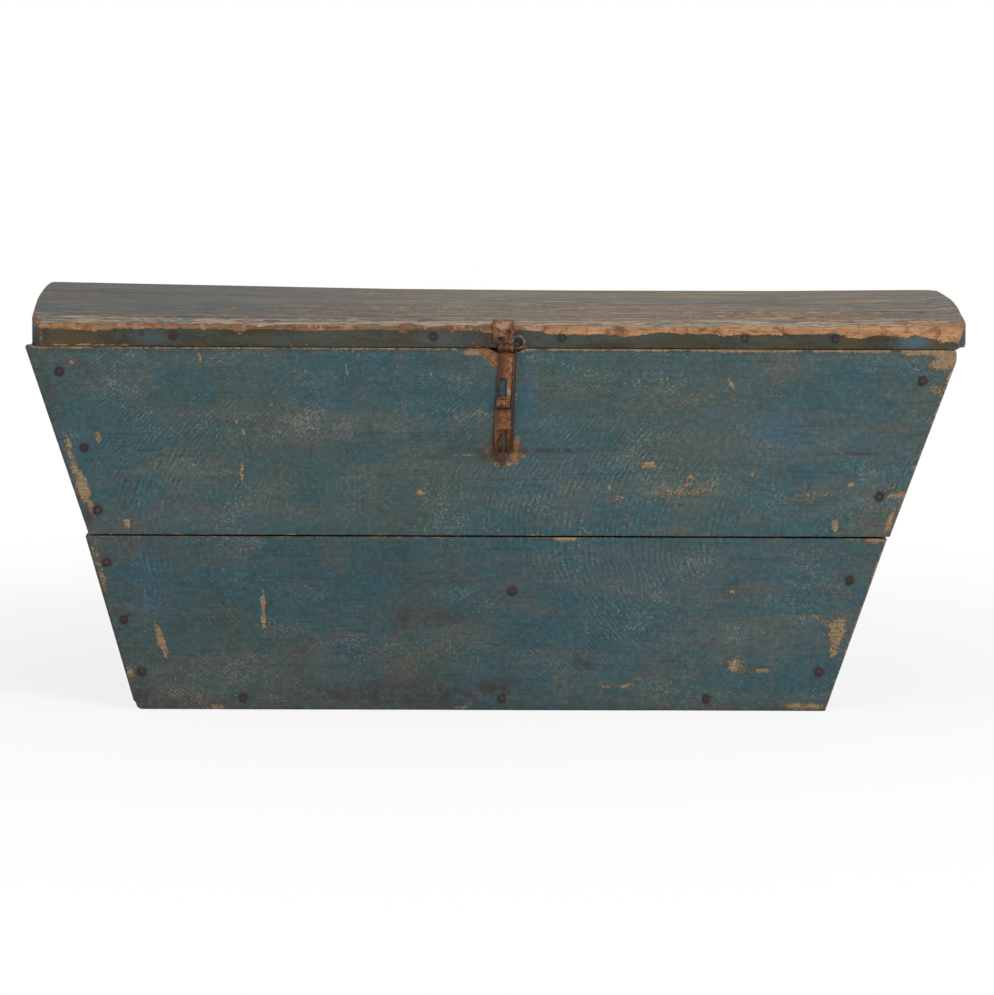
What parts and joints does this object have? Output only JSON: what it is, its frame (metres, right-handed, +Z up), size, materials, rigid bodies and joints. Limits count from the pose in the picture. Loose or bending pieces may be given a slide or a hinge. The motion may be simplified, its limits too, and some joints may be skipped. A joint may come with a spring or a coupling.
{
  "type": "storage trunk",
  "caption": "Plank storage trunk with flared ends, an arched lid on strap hinges, and a forged hasp over a lock staple",
  "frame": {"origin": "centre of the underside, on the middle bottom board", "axes": "+X along the front towards its right end, +Y from the front to the back, +Z up"},
  "size_m": [0.9524, 0.4314, 0.4146],
  "materials": {
    "painted_wood": "old blue-grey paint, chipped and worn to bare wood at edges",
    "lid_wood": "weathered grey-blue paint worn along the grain",
    "bare_wood": "dry unpainted softwood",
    "rusty_iron": "forged and rusted",
    "nail_iron": "dark and rusted",
    "worn_steel": "worn grey wire"
  },
  "bodies": {
    "box": {"front_board_lower": "painted_wood", "front_board_upper": "painted_wood", "back_board_lower": "painted_wood", "back_board_upper": "painted_wood", "left_end_board_lower": "painted_wood", "left_end_board_upper": "painted_wood", "right_end_board_lower": "painted_wood", "right_end_board_upper": "painted_wood", "bottom_board_front": "bare_wood", "bottom_board_middle": "bare_wood", "bottom_board_back": "bare_wood", "front_batten": "bare_wood", "back_batten": "bare_wood", "front_nails": "nail_iron", "back_nails": "nail_iron", "left_end_nails": "nail_iron", "right_end_nails": "nail_iron", "batten_nails": "nail_iron", "lock_staple": "rusty_iron", "left_hinge_body_strap": "rusty_iron", "right_hinge_body_strap": "rusty_iron", "left_hinge_pin": "worn_steel", "right_hinge_pin": "worn_steel", "body_strap_nails": "nail_iron"},
    "lid": {"lid_front_strip": "lid_wood", "lid_back_strip": "lid_wood", "lid_front_board": "lid_wood", "lid_middle_board": "lid_wood", "lid_back_board": "lid_wood", "lid_left_end_batten": "bare_wood", "lid_right_end_batten": "bare_wood", "lid_left_hinge_batten": "bare_wood", "lid_right_hinge_batten": "bare_wood", "lid_strip_nails": "nail_iron", "lid_board_nails": "nail_iron", "left_hinge_lid_strap": "rusty_iron", "right_hinge_lid_strap": "rusty_iron", "lid_strap_nails": "nail_iron", "hasp_lid_plate": "rusty_iron", "hasp_plate_nails": "nail_iron", "hasp_upper_pin": "worn_steel"},
    "hasp_link": {"hasp_upper_link": "rusty_iron", "hasp_lower_pin": "worn_steel"},
    "hasp_plate": {"hasp_slotted_plate": "rusty_iron"},
    "hook": {"hasp_hook": "worn_steel"}
  },
  "joints": [
    {"name": "lid_hinge", "type": "hinge", "parent": "box", "child": "lid", "pos_m": [0.0193, 0.2025, 0.37], "axis": [-1, 0, 0], "range_deg": [0, 110]},
    {"name": "hasp_upper_hinge", "type": "hinge", "parent": "lid", "child": "hasp_link", "pos_m": [0.025, -0.202, 0.371], "axis": [-1, 0, 0], "range_deg": [0, 150]},
    {"name": "hasp_lower_hinge", "type": "hinge", "parent": "hasp_link", "child": "hasp_plate", "pos_m": [0.022, -0.2048, 0.315], "axis": [-1, 0, 0], "range_deg": [0, 120]},
    {"name": "hook_hinge", "type": "hinge", "parent": "lid", "child": "hook", "pos_m": [0.03475, -0.202, 0.371], "axis": [-1, 0, 0], "range_deg": [0, 150]}
  ]
}
